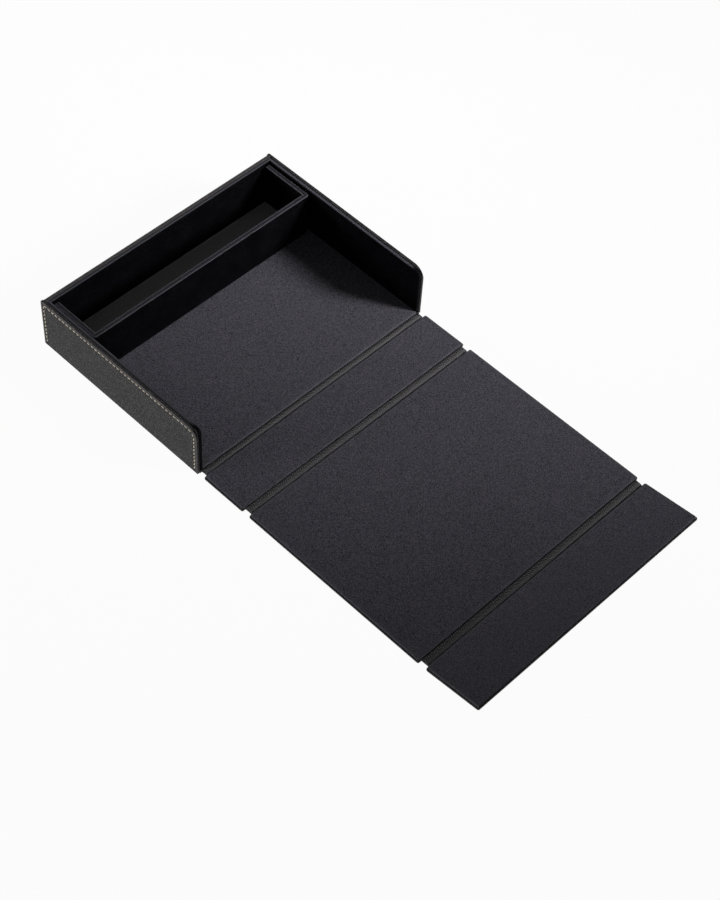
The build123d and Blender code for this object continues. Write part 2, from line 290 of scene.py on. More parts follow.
def pebbled_leather(tree, box):
    """Embossed polyurethane leather: rolled pebbles give a soft broken shine, with painted shade in the dark
    creases between.
    """
    shader = surface(tree, {"IOR": 1.5, "Specular IOR Level": 0.36})
    leather = box.leather
    # Its pebbles are near 1.1 mm, too fine to show from here, so they are drawn a third coarser.
    place = add_node(tree, "ShaderNodeTexCoord").outputs["Object"]
    drift = add_node(
        tree, "ShaderNodeTexNoise", {"Vector": place, "Scale": 1 / (3 * leather.grain), "Detail": 2.0}
    )
    bent = add_node(
        tree,
        "ShaderNodeVectorMath",
        {0: drift.outputs["Color"], 1: (leather.grain,) * 3, 2: place},
        operation="MULTIPLY_ADD",
    )
    cells = add_node(
        tree,
        "ShaderNodeTexVoronoi",
        {"Vector": bent.outputs[0], "Scale": 1 / leather.grain, "Randomness": 0.9},
        feature="DISTANCE_TO_EDGE",
    )
    crown = add_node(
        tree,
        "ShaderNodeMapRange",
        {"Value": cells.outputs["Distance"], "From Max": 0.38},
        interpolation_type="SMOOTHSTEP",
    )
    # The creases between pebbles take the darkest colour: painted shade.
    tones = (leather.painted_crease_shade, leather.crown)
    tone, _ = speckled(tree, 0.4 * leather.grain, 1.0, (0.3, 0.7), tones)
    grain = add_node(
        tree,
        "ShaderNodeMix",
        {MIX_FACTOR: crown.outputs[0], MIX_A: leather.painted_crease_shade, MIX_B: tone},
        data_type="RGBA",
    )
    rough = add_node(tree, "ShaderNodeMapRange", {"Value": crown.outputs[0], "To Min": 0.8, "To Max": 0.42})
    tree.links.new(rough.outputs[0], shader.inputs["Roughness"])
    # Rolled edges are painted with the edge colour: scuffing and painted highlight.
    colour = paint_wear_and_light(tree, grain.outputs[MIX_RESULT], leather.wear_and_painted_light)
    coat(tree, shader, colour, crown.outputs[0], leather.relief)


def ribbed_leather(tree, box):
    """Split leather pressed with cross ribs: matt grey, painted lighter on the rib crests and on the side
    away from the box as painted highlight.
    """
    shader = surface(tree, {"Specular IOR Level": 0.12, "Roughness": 0.8})
    hinge = box.hinge
    # Its pores are near 0.2 mm, too fine to show, so they are drawn three times as coarse.
    base, pores = speckled(tree, 0.6 * MM, 2.0, (0.35, 1.4), (hinge.dark, hinge.light))
    # Rib crests and the side away from the box are painted with the rib colour: painted highlight.
    coat(tree, shader, paint_wear_and_light(tree, base, hinge.light), pores.outputs[0], 0.04 * MM)


def wool_felt(tree, box):
    """Pressed wool felt: no shine, a mottle of fibres in slightly different greys, and painted sheen at its
    edges.
    """
    shader = surface(
        tree, {"Roughness": 0.95, "Specular IOR Level": 0.05, "Sheen Weight": 0.03, "Sheen Roughness": 0.6}
    )
    felt = box.felt
    # Its fibres are near 0.02 mm, too fine to show, so each tuft stands for many.
    mottle, tufts = speckled(tree, felt.fibre, 1.0, (0.28, 0.72), (felt.dark, felt.light))
    dyed = add_node(
        tree,
        "ShaderNodeMix",
        {MIX_FACTOR: 0.5, MIX_A: mottle, MIX_B: tufts.outputs["Color"]},
        data_type="RGBA",
        blend_type="SOFT_LIGHT",
    )
    # The felt's edges are painted with its light fibre colour: painted sheen.
    colour = paint_wear_and_light(tree, dyed.outputs[MIX_RESULT], felt.light)
    coat(tree, shader, colour, tufts.outputs[0], 0.05 * MM)


def black_suede(tree, box):
    """Microfibre suede: a standing nap that swallows light, brushed in patches, paler at pressed edges,
    where the flattened nap carries a painted highlight.
    """
    shader = surface(tree, {"Roughness": 0.9, "Specular IOR Level": 0.02})
    suede = box.suede
    # Its fibres are near 0.01 mm, too fine to show, so each tuft stands for many.
    nap, tufts = speckled(tree, suede.tuft, 1.0, (0.42, 0.65), (suede.nap, suede.brushed))
    dimmed = (0.55, 0.55, 0.55, 1.0)
    lie, _ = speckled(tree, 16 * suede.tuft, 2.0, (0.35, 0.65), (dimmed, linear("#ffffff")))
    brushed = add_node(
        tree,
        "ShaderNodeMix",
        {MIX_FACTOR: 1.0, MIX_A: nap, MIX_B: lie},
        data_type="RGBA",
        blend_type="MULTIPLY",
    )
    # Edges are painted paler: nap pressed flat and painted highlight.
    colour = paint_wear_and_light(tree, brushed.outputs[MIX_RESULT], suede.wear_and_painted_light)
    coat(tree, shader, colour, tufts.outputs[0], 0.04 * MM)


def waxed_thread(tree, box):
    """Waxed two-ply linen thread: cream, slightly glossy, with darker fibre streaks, and painted shade where
    it dives into its holes.
    """
    shader = surface(tree, {"Roughness": 0.5, "IOR": 1.5})
    # Its fibres are near 0.02 mm, too fine to show, so each streak stands for many.
    colours = (box.seam.colour, linear("#a39682"))
    shade, fibres = speckled(tree, 0.25 * MM, 2.0, (0.3, 1.0), colours)
    # Where the thread dives into its holes it is painted darker: painted shade.
    coat(tree, shader, paint_wear_and_light(tree, shade, linear("#4a4238")), fibres.outputs[0], 0.02 * MM)


def lining_card(tree, box):
    """Smooth coated card: even grey, a soft sheen and only a breath of fibre."""
    shader = surface(tree, {"Roughness": 0.6, "IOR": 1.45, "Specular IOR Level": 0.3})
    # Its fibres are near 0.03 mm, too fine to show, so each speck stands for many.
    colour, fibre = speckled(tree, 0.7 * MM, 3.0, (0.3, 1.3), (box.tray.floor, linear("#4c4c4b")))
    coat(tree, shader, colour, fibre.outputs[0], 0.01 * MM)


def greyboard(tree, box):
    """Recycled greyboard: matt, with darker flecks of pulp pressed into it."""
    shader = surface(tree, {"Roughness": 0.9, "Specular IOR Level": 0.2})
    colour, pulp = speckled(tree, 1.5 * MM, 5.0, (0.4, 0.7), (linear("#8a857d"), linear("#67635d")))
    coat(tree, shader, colour, pulp.outputs[0], 0.02 * MM)


def nickel_plate(tree, box):
    """Nickel-plated magnet: bright warm grey metal, faintly clouded by its barrel polish."""
    shader = surface(tree, {"Metallic": 1.0, "Roughness": 0.24})
    colour, cloud = speckled(tree, 2 * MM, 3.0, (0.3, 0.7), (linear("#c4c0b8"), linear("#b4b0a8")))
    coat(tree, shader, colour, cloud.outputs[0], 0.005 * MM)


FINISHES = {
    "outer_leather": pebbled_leather,
    "hinge_lining": ribbed_leather,
    "felt": wool_felt,
    "suede": black_suede,
    "thread": waxed_thread,
    "tray_floor": lining_card,
    "board": greyboard,
    "magnet": nickel_plate,
}


# Mesh code. A row is (inset, depth, wear_and_highlight): how far in from the outline its ring lies, how deep
# under the face, and how strongly it is painted lighter, as scuffing and painted highlight.


def rounded_outline(u, v, radii, along_u, along_v, arc=6):
    """Points round a rectangle between the pairs u and v, from the low-u low-v corner on.

    radii are the corner radii, first low-u low-v, then round past high u. along_u and along_v are
    how many points lie between the corners, so that every inset of a shape has as many points.
    """
    corners = []
    for (i, j, first), radius in zip(((0, 0, 180), (1, 0, 270), (1, 1, 0), (0, 1, 90)), radii):
        turn = np.radians(np.linspace(first, first + 90, arc + 1))
        centre = (u[i] + (1 - 2 * i) * radius, v[j] + (1 - 2 * j) * radius)
        corners.append(centre + radius * np.column_stack([np.cos(turn), np.sin(turn)]))
    points = []
    for here, there, count in zip(corners, corners[1:] + corners[:1], (along_u, along_v) * 2):
        points.append(here)
        points.append(np.linspace(here[-1], there[0], count + 2)[1:-1])
    return np.vstack(points)


def tube_faces(count, size, caps):
    """Faces through count rings of size points, with or without a cap at both ends."""
    index = np.arange(count * size).reshape(count, size)
    here, there = index[:-1], index[1:]
    quads = np.stack([here, np.roll(here, -1, 1), np.roll(there, -1, 1), there], -1).reshape(-1, 4)
    return quads.tolist() + ([index[0][::-1].tolist(), index[-1].tolist()] if caps else [])


def skin(name, rings, wear_and_light_marks=None, caps=False):
    """A mesh through rings with equal numbers of points. wear_and_light_marks says how strongly each ring or
    point is painted with scuffing and painted highlight, and on thread with painted shade.
    """
    rings = np.asarray(rings, float)
    count, size = rings.shape[:2]
    wear_and_light_marks = np.zeros(count) if wear_and_light_marks is None else np.asarray(wear_and_light_marks, float)
    if wear_and_light_marks.ndim == 1:
        wear_and_light_marks = np.repeat(wear_and_light_marks[:, None], size, 1)
    return solid(name, rings.reshape(-1, 3), tube_faces(count, size, caps), wear_and_light_marks.ravel())


def placed(name, data):
    """A new object in the scene."""
    made = bpy.data.objects.new(name, data)
    bpy.context.scene.collection.objects.link(made)
    return made


def solid(name, points, faces, wear_and_light_marks):
    """An object from points and faces, cleaned of doubled points and smooth but for its sharp edges."""
    mesh = bpy.data.meshes.new(name)
    mesh.from_pydata(points.tolist(), [], faces)
    mesh.attributes.new("rim", "FLOAT", "POINT").data.foreach_set("value", np.asarray(wear_and_light_marks, np.float32))
    work = bmesh.new()
    work.from_mesh(mesh)
    bmesh.ops.remove_doubles(work, verts=work.verts, dist=1e-7)
    bmesh.ops.dissolve_degenerate(work, edges=work.edges, dist=1e-8)
    bmesh.ops.recalc_face_normals(work, faces=work.faces)
    work.to_mesh(mesh)
    work.free()
    mesh.shade_smooth()
    mesh.set_sharp_from_angle(angle=SMOOTH_ANGLE)
    return placed(name, mesh)


def dress(piece, slot, box, nodes, body=None):
    """Gives a piece its slot and its finish, hides the nodes that it stands for, and lets it ride."""
    piece.data.materials.append(finish(slot, box))
    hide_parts(*nodes)
    if body:
        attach(piece, body)


def node_span(node):
    """The (low, high) pairs of a CAD node along x, y and z."""
    return list(zip(*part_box(node)))


def shrink(pair, low, high=None):
    """A (low, high) pair drawn in at both ends."""
    return (pair[0] + low, pair[1] - (low if high is None else high))


def face_rows(first, middle, count, depth=0.0):
    """Rows of a flat face, from its middle out to near the inset first, closer together near the edge."""
    return [(first + (middle - first) * (i / count) ** 1.6, depth, 0.0) for i in range(count, 0, -1)]


def roll(radius, steps=4):
    """(inset, drop) pairs of a quarter-round edge, from its flat top to its upright side."""
    turn = np.linspace(0, math.pi / 2, steps + 1)
    return [(radius * (1 - math.sin(t)), radius * (1 - math.cos(t))) for t in turn]


def roll_rows(radius, wear_and_highlights, depth=0.0, way=1):
    """Rows of a rolled edge, from the face at that depth on."""
    return [(inset, depth + way * drop, wear_and_highlight) for (inset, drop), wear_and_highlight in zip(roll(radius), wear_and_highlights)]


def under_rows(radius, depth, wear_and_highlight):
    """Rows that turn an upright side in under itself, at that depth."""
    return [(inset, depth - drop, wear_and_highlight) for inset, drop in reversed(roll(radius, 3))]


def inner_rows(depth, middle):
    """Rows of a cover's inner side, from near its edge to its middle."""
    return [(inset, depth, 0.0) for inset in (6 * MM, middle)]


def waves(a, b, size):
    """An uneven ripple from -1 to 1 over the surface places a and b, about size from crest to crest."""
    turn = 2 * math.pi / size
    return (
        np.sin(turn * (0.83 * a + 0.31 * b) + 1.1)
        + np.sin(turn * (0.37 * a - 0.92 * b) + 4.0)
        + np.sin(turn * (1.41 * a + 1.13 * b) + 2.3)
    ) / 3


def ripple(flat, inset, height, level, size, reach):
    """How far a glued cover waves about a level: not at its edge, and fully from the inset reach on."""
    return height * (level + waves(flat[:, 0], flat[:, 1], size)) * min(inset / reach, 1)


def plate_rings(outline, rows, axis, start, way, face, uneven):
    """Rings through the rows along an axis, and their wear. Only rows at the depth of the face wave."""
    rings = []
    for inset, depth, _ in rows:
        flat = outline(inset)
        lift = ripple(flat, inset, *uneven) if depth == face else 0.0
        rings.append(np.insert(flat, axis, start + way * (depth + lift), 1))
    return np.array(rings), [row[2] for row in rows]


def upright_outline(y, z, front_radius, back_radius):
    """An outline by inset for a wall plate standing on its lower edge, and its middle.

    The lower edge is drawn in less, so that a seam along the other three edges runs down to the foot.
    """
    middle = (z[1] - z[0]) / 2
    near_edge = 0.5 * MM
    seam_zone = 4.0 * MM
    foot_radius = 0.3 * MM

    def at(inset):
        under = np.interp(inset, (0, near_edge, seam_zone, middle), (0, near_edge, 2 * near_edge, middle))
        foot, back, front = (max(radius - inset, 0) for radius in (foot_radius, back_radius, front_radius))
        return rounded_outline(
            shrink(y, min(inset, middle)), shrink(z, under, inset), (foot, foot, back, front), 320, 88, 12
        )

    return at, middle


def flat_outline(x, y, radius, along_x, along_y, edges=(1, 1, 1, 1)):
    """An outline by inset for a plate lying flat, and its middle. edges says which of low x, high x,
    low y and high y draw in near the edge."""
    middle = min(x[1] - x[0], y[1] - y[0]) / 2

    def at(inset):
        ins = [inset if inset > PAST_EDGE or edge else GLUE_LINE for edge in edges]
        corner = max(radius - inset, 0)
        return rounded_outline(
            shrink(x, ins[0], ins[1]), shrink(y, ins[2], ins[3]), (corner,) * 4, along_x, along_y
        )

    return at, middle


# Side walls.


def stitch_steps(length, pitch):
    """The middles of the stitches that fit on one run of a seam."""
    count = int(length / pitch)
    start = (length - count * pitch) / 2
    return [start + (i + 0.5) * pitch for i in range(count)]


def seam_places(box, y, z):
    """(y, z, direction) of each stitch: up the back edge, then along the top, round the corner and down."""
    seam = box.seam
    radius = FRONT_CORNER_RADIUS - seam.inset
    back = y[1] - seam.inset
    front = y[0] + seam.inset
    top = z[1] - seam.inset
    rise = top - seam.foot
    run = back - front - radius
    bend = radius * math.pi / 2
    places = [(back, seam.foot + distance, math.pi / 2) for distance in stitch_steps(rise, seam.pitch)]
    for distance in stitch_steps(run + bend + rise - radius, seam.pitch):
        if distance < run:
            places.append((back - distance, top, math.pi))
        elif distance < run + bend:
            turn = (distance - run) / radius
            across = front + radius - radius * math.sin(turn)
            places.append((across, top - radius + radius * math.cos(turn), math.pi + turn))
        else:
            places.append((front, top - radius - (distance - run - bend), 1.5 * math.pi))
    return np.array(places)


def seam_press(box, places, y, z):
    """How far the pulled thread presses the leather in at the points y, z, less its bulge beside."""
    hole_size = 0.45 * MM
    hole_depth = 0.25 * MM
    pull_width = 0.9 * MM
    pull_length = 0.3 * box.seam.pitch
    bulge = 0.07 * MM
    offset_y = y[:, None] - places[:, 0]
    offset_z = z[:, None] - places[:, 1]
    along = offset_y * np.cos(places[:, 2]) + offset_z * np.sin(places[:, 2])
    across = offset_z * np.cos(places[:, 2]) - offset_y * np.sin(places[:, 2])
    hole = np.exp(-(((np.abs(along) - box.seam.stitch / 2) / hole_size) ** 2) - (across / hole_size) ** 2)
    pull = np.exp(-((along / pull_length) ** 2) - ((np.abs(across) - pull_width) / pull_width) ** 2)
    return hole.max(1) * hole_depth - pull.max(1) * bulge


def wall_leather(box, y, z, outside):
    """Leather of the left wall's outer ply, with its seam channel, as a wrapped shell."""
    seam = box.seam
    outline, middle = upright_outline(y, z, FRONT_CORNER_RADIUS, BACK_CORNER_RADIUS)
    half = seam.channel / 2
    lip = 0.25 * MM
    swell = 0.06 * MM
    shoulder = 0.12 * MM
    slope = 0.8 * seam.depth
    # From the inner to the outer side of the seam: the leather swells, dips into the channel and swells.
    channel = [(half + 2 * lip, -swell, 0.0), (half + lip, -swell / 2, 0.0), (half, shoulder, 0.0)]
    channel += [(half / 2, slope, 0.0), (0, seam.depth, 0.0), (-half / 2, slope, 0.0)]
    # The outer shoulder of the channel is painted a little lighter: scuffing and painted highlight.
    channel += [(-half, shoulder, 0.0), (-half - lip, -swell / 2, 0.0), (-half - 3 * lip, -swell, 0.3)]
    turn_in = 0.3 * MM
    rows = face_rows(seam.inset + 2.4 * half, middle, 10)
    rows += [(seam.inset + out, depth, wear_and_highlight) for out, depth, wear_and_highlight in channel]
    sewn = len(rows)
    # The rolled edge is painted lighter: scuffing and painted highlight.
    rows += roll_rows(box.leather.edge_roll, PLY_WEAR_AND_HIGHLIGHT)
    rows += [(0, 0.35 * SIDE_PLY, 0.0), (0, 0.65 * SIDE_PLY, 0.0)]
    rows += under_rows(turn_in, SIDE_PLY, 0.2)
    rows += [(0.7 * MM, SIDE_PLY, 0.0), (0.75 * MM, LEATHER_THICKNESS, 0.0)]
    rows += inner_rows(LEATHER_THICKNESS, middle)

    places = seam_places(box, y, z)
    foot = 0.9 * MM
    fade = 1.2 * MM
    rings = []
    for number, (inset, depth, _) in enumerate(rows):
        flat = outline(inset)
        if number < sewn and inset < 2 * seam.inset:
            # The channel runs out just above the foot of the wall.
            depth = depth * np.clip((flat[:, 1] - foot) / fade, 0, 1) + seam_press(box, places, *flat.T)
        elif number < sewn:
            depth = ripple(flat, inset, 0.05 * MM, 0, 34 * MM, 9 * MM)
        rings.append(np.insert(flat, 0, outside + depth, 1))
    return np.array(rings), [row[2] for row in rows]


def wall_liner(box, y, z, outside):
    """Suede of the left wall's liner, glued at x = outside and showing its face to the inside of the box."""
    outline, middle = upright_outline(y, z, LINER_CORNER_RADIUS, SHARP)
    bend = box.suede.edge_roll
    inner = SIDE_LINER - SUEDE_THICKNESS
    rows = face_rows(2 * bend, middle, 9, SIDE_LINER) + roll_rows(bend, EDGE_WEAR_AND_HIGHLIGHT, SIDE_LINER, -1)
    rows += [(0, share * SIDE_LINER, wear_and_highlight) for share, wear_and_highlight in ((0.7, 1.0), (0.5, 0.8), (0.25, 0.3))]
    rows += [(0.2 * MM, 0.05 * MM, 0.0), (SUEDE_THICKNESS, GLUE_LINE, 0.0), (SUEDE_THICKNESS, inner, 0.0)]
    rows += inner_rows(inner, middle)
    uneven = (0.04 * MM, 0, 41 * MM, 8 * MM)
    rings, wear_and_light_marks = plate_rings(outline, rows, 0, outside, 1, SIDE_LINER, uneven)
    # The long top edge is painted lighter, scuffing and painted highlight, fading out so that the upright
    # front edge stays black.
    fade = 5 * MM
    return rings, np.array(wear_and_light_marks)[:, None] * np.clip((rings[:, :, 1] - y[0] - fade) / fade, 0.05, 1)


def stitch_rings(box, place, outside, number):
    """One stitch: a two-ply twisted thread that dives into its holes at both ends."""
    seam = box.seam
    radius = seam.thread / 2
    flat = seam.width / seam.thread
    past_hole = 0.12 * MM
    hole_depth = 0.5 * MM
    waist = 0.12
    crest = seam.depth - GLUE_LINE - radius
    # Hand sewing leaves no two stitches at quite the same slant.
    way = place[2] + seam.slant * (1 + 0.25 * math.sin(number * 2.4))
    run = np.array([0, math.cos(way), math.sin(way)])
    side = np.array([0, -math.sin(way), math.cos(way)])
    out = np.array([-1.0, 0, 0])
    middle = np.array([outside, place[0], place[1]])
    around = np.linspace(0, 2 * math.pi, 12, endpoint=False)
    rings = []
    wear_and_light_marks = []
    for share in np.linspace(-1, 1, 13):
        dive = abs(share) ** 4
        centre = middle + run * share * (seam.stitch / 2 + past_hole) - out * (crest + hole_depth * dive)
        twist = share * 2.6 + number
        plies = radius * (1 - waist + waist * np.abs(np.cos(around - twist))) * (1 - 0.25 * dive)
        rings.append(
            centre + np.outer(flat * plies * np.cos(around), side) + np.outer(plies * np.sin(around), out)
        )
        # Toward the holes the thread is marked darker: painted shade.
        wear_and_light_marks.append(0.9 * dive)
    return np.array(rings), wear_and_light_marks


def seam_thread(name, box, y, z, outside, mirror):
    """All stitches of one wall as one object."""
    points = []
    faces = []
    wear_and_light_marks = []
    for number, place in enumerate(seam_places(box, y, z)):
        rings, wear_and_light_share = stitch_rings(box, place, outside, number)
        count, size = rings.shape[:2]
        start = number * count * size
        faces += [[start + corner for corner in face] for face in tube_faces(count, size, True)]
        points.append(rings.reshape(-1, 3) * (mirror, 1, 1))
        wear_and_light_marks.append(np.repeat(wear_and_light_share, size))
    return solid(name, np.vstack(points), faces, np.concatenate(wear_and_light_marks))


def make_side_walls(box):
    """Both side walls."""
    (outside, _), y, z = node_span("left_wall_leather")
    _, liner_y, liner_z = node_span("left_liner_suede")
    liner_y = (y[0] + SHARP, liner_y[1])
    for side, mirror in (("left", 1), ("right", -1)):
        rings, wear_and_light_marks = wall_leather(box, y, z, outside)
        leather = skin(side + "_wall_wrap", rings * (mirror, 1, 1), wear_and_light_marks)
        dress(leather, "outer_leather", box, [side + "_wall_leather"], "box")
        rings, wear_and_light_marks = wall_liner(box, liner_y, liner_z, outside + SIDE_PLY)
        suede = skin(side + "_wall_lining", rings * (mirror, 1, 1), wear_and_light_marks)
        dress(suede, "suede", box, [side + "_liner_suede"], "box")
        thread = seam_thread(side + "_saddle_stitches", box, y, z, outside, mirror)
        dress(thread, "thread", box, [side + "_stitching"], "box")


# Back wall.


def back_plate(name, node, way, bend, inner_bend, cover, wear_and_painted_light, swell):
    """One ply of the back wall, whose face looks against way, with its cover turned over the top edge."""
    x, y, z = node_span(node)
    ply = y[1] - y[0]
    middle = (z[1] - z[0]) / 2
    # The rolled top edge and the cover's upright sides are painted lighter: scuffing and painted highlight.
    rows = face_rows(2 * bend, middle, 8) + roll_rows(bend, [wear_and_painted_light * wear_and_highlight for wear_and_highlight in EDGE_WEAR_AND_HIGHLIGHT])
    rows += [(0, share * ply, 0.55 * wear_and_painted_light) for share in (0.35, 0.6)]
    rows += under_rows(inner_bend, ply, 0.5 * wear_and_painted_light)
    rows += [(cover, ply, 0.0), (cover, cover, 0.0)] + inner_rows(cover, middle)

    def outline(inset):
        ends = inset if inset > PAST_EDGE else GLUE_LINE
        return rounded_outline(shrink(x, min(ends, middle)), shrink(z, inset), (0.0,) * 4, 130, 30, 1)

    face = y[0] if way > 0 else y[1]
    return skin(name, *plate_rings(outline, rows, 1, face, way, 0.0, (swell, 1, 37 * MM, 9 * MM)))


def make_back_wall(box):
    """The back wall."""
    roll_out, roll_in = box.leather.edge_roll, box.suede.edge_roll
    for name, node, slot, way, bend, inner_bend, cover, wear_and_painted_light, swell in (
        ("wrap", "back_wall_leather", "outer_leather", -1, roll_out, 0.3 * MM, 0.7 * MM, 0.6, 0.03 * MM),
        ("lining", "back_liner_suede", "suede", 1, roll_in, 0.2 * MM, SUEDE_THICKNESS, 0.9, 0.02 * MM),
    ):
        plate = back_plate("back_wall_" + name, node, way, bend, inner_bend, cover, wear_and_painted_light, swell)
        dress(plate, slot, box, [node], "box")


# Flat plies and pads.


def leather_ply(name, x, y, z, radius, edges=(1, 1, 1, 1)):
    """Leather under a flat ply and turned up round its edges, as a shallow shell that holds the board."""
    outline, middle = flat_outline(x, y, radius, 110, 80, edges)
    bend = 0.45 * MM
    thick = z[1] - z[0]
    top = thick + GLUE_LINE
    turned = PANEL_LEDGE + THIN_LEATHER
    rows = face_rows(2 * bend, middle, 10) + roll_rows(bend, (0.0,) * 5)
    # The top edge of the turned-up leather is painted faintly lighter: scuffing and painted highlight.
    rows += [(0, 0.6 * thick, 0.0), (0, thick - 0.15 * MM, 0.05), (0.05 * MM, thick - 0.04 * MM, 0.1)]
    rows += [(0.18 * MM, top, 0.05), (0.4 * MM, top, 0.0), (turned, top, 0.0), (turned, THIN_LEATHER, 0.0)]
    rows += inner_rows(THIN_LEATHER, middle)
    return skin(name, *plate_rings(outline, rows, 2, z[0], 1, 0.0, (0.025 * MM, 1, 45 * MM, 12 * MM)))


def felt_pad(name, box, x, y, z, radius):
    """Felt over a card, turned down round its edges, as a shallow shell that holds the card."""
    outline, middle = flat_outline(x, y, radius, 110, 80)
    bend = box.felt.edge_roll
    thick = z[1] - z[0]
    inner = thick - FELT_THICKNESS
    # The rolled edge of the felt is painted lighter: painted sheen.
    rows = face_rows(3 * bend, middle, 12, thick) + [(2 * bend, thick, 0.1)]
    rows += roll_rows(bend, FELT_PAINTED_SHEEN, thick, -1)
    rows += [(0.02 * MM, 0.5 * thick, 0.0), (0.1 * MM, 0.2 * thick, 0.0), (0.15 * MM, GLUE_LINE, 0.0)]
    rows += [(FELT_THICKNESS, GLUE_LINE, 0.0), (FELT_THICKNESS, inner, 0.0)] + inner_rows(inner, middle)
    return skin(name, *plate_rings(outline, rows, 2, z[0], 1, thick, (0.045 * MM, -1, 52 * MM, 10 * MM)))


def make_base(box):
    """The base."""
    leather = leather_ply("base_wrap", *node_span("base_leather"), SHARP, (0, 0, 1, 0))
    dress(leather, "outer_leather", box, ["base_leather"], "box")
    felt = felt_pad("box_floor", box, *node_span("floor_felt"), SHARP)
    dress(felt, "felt", box, ["floor_felt"], "box")


# Lid panels.


def joint_named(name):
    """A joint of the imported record."""
    return next(joint for joint in frame["joints"] if joint["name"] == name)


def tilt_up(piece, joint):
    """Turns a piece from lying flat to its place at rest, which is the joint's lower limit short of flat."""
    pivot = Vector(joint["pos_m"])
    turn = Quaternion(Vector(joint["axis"]), -math.radians(joint["range_deg"][0]))
    for vertex in piece.data.vertices:
        vertex.co = pivot + turn @ (vertex.co - pivot)


def make_lid_panels(box):
    """The three lid panels."""
    width, _, ply = node_span("lid_panel_leather")
    felt_width, _, pad = node_span("lid_panel_felt")
    step = felt_width[0] - width[0]
    lift = (pad[0] + GLUE_LINE, pad[1])
    rear_hinge = joint_named("rear_hinge")
    # The flap's solid rests tilted, so its flat length is given here.
    flap_start = rear_hinge["pos_m"][1] - 0.9 * MM
    flap_length = 43.0 * MM
    for body in ("front_panel", "lid_panel", "closing_flap"):
        flap = body == "closing_flap"
        y = (flap_start - flap_length, flap_start) if flap else node_span(body + "_leather")[1]
        leather = leather_ply(body + "_wrap", width, y, ply, PANEL_CORNER_RADIUS)
        felt_y = shrink(y, PANEL_LEDGE if flap else step, step)
        felt = felt_pad(body + "_mat", box, shrink(width, PANEL_LEDGE), felt_y, lift, PANEL_CORNER_RADIUS)
        if flap:
            tilt_up(leather, rear_hinge)
            tilt_up(felt, rear_hinge)
        dress(leather, "outer_leather", box, [body + "_leather"], body)
        dress(felt, "felt", box, [body + "_felt"], body)


# Hinges.


def strip_ring(station, place_y, out, back):
    """A ring across a strip at a station along it: out along one face and back along the other."""
    both = [np.concatenate(pair) for pair in ((place_y, place_y[::-1]), (out, back))]
    return np.insert(np.column_stack(both), 0, station, 1)


def ribbed_strip(name, box, x, y, z):
    """A hinge's lining: a ribbed leather strip that bows up a little between the panels."""
    hinge = box.hinge
    # The real ribs are near 1.15 mm apart, too fine to show, so they are drawn half as coarse again.
    per_rib = 6
    whole = 2 * math.pi
    length = x[1] - x[0]
    sunk = 0.15 * MM
    across = np.linspace(0, 1, 15)
    place_y = y[1] + (y[0] - y[1]) * across
    # The crest lies close to the side of the box, and the strip falls away slowly from there.
    bow = hinge.arch * np.sin(math.pi * across**0.5) ** 0.8
    edge = np.minimum(1, 8 * np.minimum(across, 1 - across))
    # The side away from the box is painted lighter between its ribs too: painted highlight.
    wear_and_painted_light = np.interp(across, (0, 0.4, 0.65, 1), (0, 0.0, 0.5, 0.5))
    rings = []
    wear_and_light_marks = []
    for station in np.linspace(x[0], x[1], int(length / hinge.rib) * per_rib + 1):
        lean = 0.35 * hinge.rib * np.sin(whole * across * 1.5 + 9 * station / length)
        wave = np.clip(0.5 + np.cos(whole * (station + lean) / hinge.rib), 0, 1)
        bead = 0.72 + 0.28 * np.cos(whole * place_y / (1.5 * hinge.rib) + 40 * station / hinge.rib)
        rise = bow + hinge.relief * wave * bead * edge
        rings.append(strip_ring(station, place_y, z[1] + rise - sunk, z[0] + bow[::-1] * 0.5))
        # Rib crests are painted lighter: painted highlight.
        wear_and_light_marks.append(np.concatenate([wear_and_painted_light + (1 - wear_and_painted_light) * wave * bead, np.zeros(len(across))]))
    return skin(name, rings, wear_and_light_marks, caps=True)


def creased_strip(name, x, y, z):
    """A hinge's outer leather, with the flex creases that run along it."""
    across = np.linspace(0, 1, 25)
    place_y = y[0] + (y[1] - y[0]) * across
    crease_width = 0.035
    crease_depth = 0.12 * MM
    rings = []
    for station in np.linspace(x[0], x[1], 160):
        turn = 2 * math.pi * station
        drift = 0.04 * math.sin(turn / (37 * MM)) + 0.02 * math.sin(turn / (9 * MM))
        creases = sum(np.exp(-(((across - at - drift) / crease_width) ** 2)) for at in (0.22, 0.5, 0.79))
        rings.append(strip_ring(station, place_y, z[0] + crease_depth * creases, np.full(len(across), z[1])))
    return skin(name, rings, caps=True)


def make_hinges(box):
    """The three leather hinges, each lying between the two bodies that it joins."""
    for joint in (joint_named(name + "_hinge") for name in ("front", "middle", "rear")):
        name = joint["name"]
        leather = creased_strip(name + "_spine", *node_span(name + "_leather"))
        x, y, z = node_span(name + "_lining")
        lining = ribbed_strip(name + "_strip", box, x, y, z)
        for piece, node, slot in ((leather, "leather", "outer_leather"), (lining, "lining", "hinge_lining")):
            dress(piece, slot, box, [f"{name}_{node}"])
            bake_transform(piece)


# Tray.


